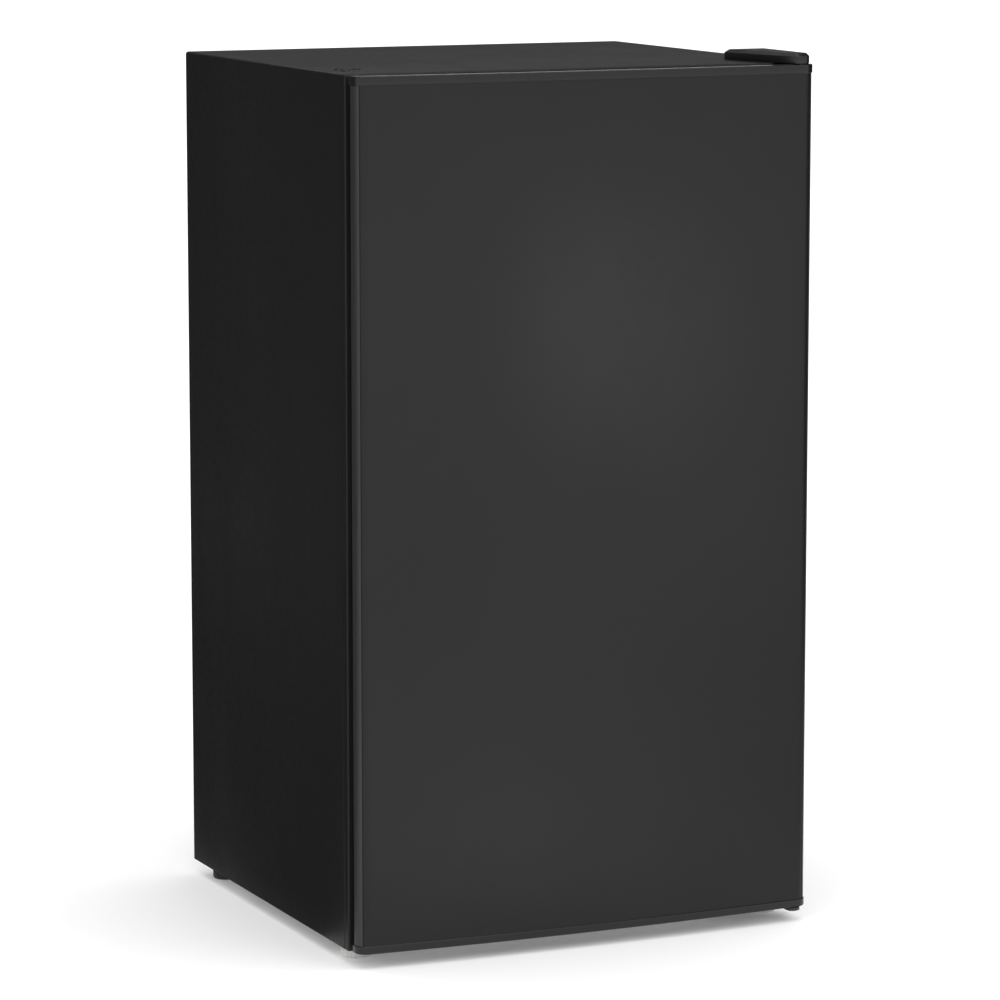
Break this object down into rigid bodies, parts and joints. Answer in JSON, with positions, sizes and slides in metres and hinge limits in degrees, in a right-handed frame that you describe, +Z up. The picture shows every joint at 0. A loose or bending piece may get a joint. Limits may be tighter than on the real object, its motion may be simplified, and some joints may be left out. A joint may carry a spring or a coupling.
{
  "type": "mini fridge",
  "caption": "Compact upright refrigerator with a bowed single door, a freezer box, shelves, door bins and a rear compressor compartment.",
  "frame": {"origin": "on the floor, under the middle of the object's box", "axes": "+X to the right as seen from the front, -Y towards the front, +Z up"},
  "size_m": [0.472, 0.4606, 0.8378],
  "materials": {
    "black_enamel": "satin",
    "back_enamel": "matte",
    "black_cap_plastic": "satin",
    "galvanised_sheet": "satin",
    "white_liner": "satin",
    "foam": "matte",
    "gasket_rubber": "matte",
    "nylon": "satin",
    "black_moulding": "matte",
    "hinge_steel": "satin",
    "bright_steel": "satin",
    "clear_plastic": "gloss",
    "shelf_glass": "gloss",
    "white_trim": "satin",
    "flap_plastic": "satin",
    "evaporator_aluminium": "satin",
    "compressor_black": "gloss",
    "motor_iron": "matte",
    "mount_rubber": "matte",
    "copper": "polished"
  },
  "bodies": {
    "cabinet": {"base_pan": "galvanised_sheet", "bottom_hinge_bracket": "hinge_steel", "bottom_hinge_pin": "bright_steel", "bottom_hinge_screws": "bright_steel", "cabinet_foam": "foam", "compressor_bolts": "bright_steel", "compressor_can": "compressor_black", "compressor_feet_plate": "galvanised_sheet", "compressor_grommets": "mount_rubber", "compressor_motor": "motor_iron", "compressor_tray": "galvanised_sheet", "condenser_brackets": "black_moulding", "condenser_screws": "bright_steel", "condenser_tube": "back_enamel", "condenser_wires": "back_enamel", "cord_gland": "black_moulding", "discharge_tube": "copper", "drip_tray_rails": "white_trim", "evaporating_pan": "black_moulding", "evaporator_box": "evaporator_aluminium", "evaporator_hangers": "white_trim", "filter_drier": "copper", "freezer_frame": "white_trim", "front_crossmember": "galvanised_sheet", "hinge_cover": "black_cap_plastic", "inner_liner": "white_liner", "outer_shell": "black_enamel", "panel_screws": "bright_steel", "rear_feet": "black_moulding", "rear_panel": "back_enamel", "spare_hole_plugs": "black_cap_plastic", "suction_tube": "copper", "terminal_cover": "black_moulding", "thermostat_housing": "white_trim", "top_hinge_pin": "bright_steel", "top_hinge_plate": "hinge_steel", "top_hinge_screws": "bright_steel"},
    "door": {"door_skin": "black_enamel", "door_top_cap": "black_cap_plastic", "door_bottom_cap": "black_cap_plastic", "door_bushes": "nylon", "door_liner": "white_liner", "door_foam": "foam", "door_gasket": "gasket_rubber"},
    "lower_bin": {"door_bin_lower": "clear_plastic"},
    "middle_bin": {"door_bin_middle": "clear_plastic"},
    "upper_bin": {"door_bin_upper": "clear_plastic"},
    "crisper_cover": {"crisper_cover_glass": "shelf_glass", "crisper_cover_trim": "white_trim"},
    "lower_shelf": {"lower_shelf_glass": "shelf_glass", "lower_shelf_trim": "white_trim"},
    "upper_shelf": {"upper_shelf_glass": "shelf_glass", "upper_shelf_trim": "white_trim"},
    "crisper": {"crisper_drawer": "clear_plastic"},
    "flap": {"freezer_flap": "flap_plastic"},
    "melt_tray": {"drip_tray": "white_trim"},
    "knob": {"thermostat_knob": "white_trim"},
    "left_foot": {"front_foot_left": "nylon"},
    "right_foot": {"front_foot_right": "nylon"}
  },
  "joints": [
    {"name": "door_hinge", "type": "hinge", "parent": "cabinet", "child": "door", "pos_m": [0.222, -0.2157, 0.421], "axis": [0, 0, 1], "range_deg": [0, 120]},
    {"name": "flap_hinge", "type": "hinge", "parent": "cabinet", "child": "flap", "pos_m": [-0.046, -0.0841, 0.7775], "axis": [-1, 0, 0], "range_deg": [0, 90]},
    {"name": "knob_turn", "type": "hinge", "parent": "cabinet", "child": "knob", "pos_m": [0.157, 0.0748, 0.755], "axis": [0, 1, 0], "range_deg": [0, 300]},
    {"name": "upper_shelf_slide", "type": "slide", "parent": "cabinet", "child": "upper_shelf", "axis": [0, -1, 0], "range_m": [0, 0.022]},
    {"name": "lower_shelf_slide", "type": "slide", "parent": "cabinet", "child": "lower_shelf", "axis": [0, -1, 0], "range_m": [0, 0.022]},
    {"name": "crisper_cover_slide", "type": "slide", "parent": "cabinet", "child": "crisper_cover", "axis": [0, -1, 0], "range_m": [0, 0.022]},
    {"name": "crisper_slide", "type": "slide", "parent": "cabinet", "child": "crisper", "axis": [0, -1, 0], "range_m": [0, 0.012]},
    {"name": "drip_tray_slide", "type": "slide", "parent": "cabinet", "child": "melt_tray", "axis": [0, -1, 0], "range_m": [0, 0.07]},
    {"name": "upper_bin_lift", "type": "slide", "parent": "door", "child": "upper_bin", "axis": [0, 0, 1], "range_m": [0, 0.02]},
    {"name": "middle_bin_lift", "type": "slide", "parent": "door", "child": "middle_bin", "axis": [0, 0, 1], "range_m": [0, 0.02]},
    {"name": "lower_bin_lift", "type": "slide", "parent": "door", "child": "lower_bin", "axis": [0, 0, 1], "range_m": [0, 0.02]},
    {"name": "left_foot_screw", "type": "slide", "parent": "cabinet", "child": "left_foot", "axis": [0, 0, -1], "range_m": [0, 0.008]},
    {"name": "right_foot_screw", "type": "slide", "parent": "cabinet", "child": "right_foot", "axis": [0, 0, -1], "range_m": [0, 0.008]}
  ]
}
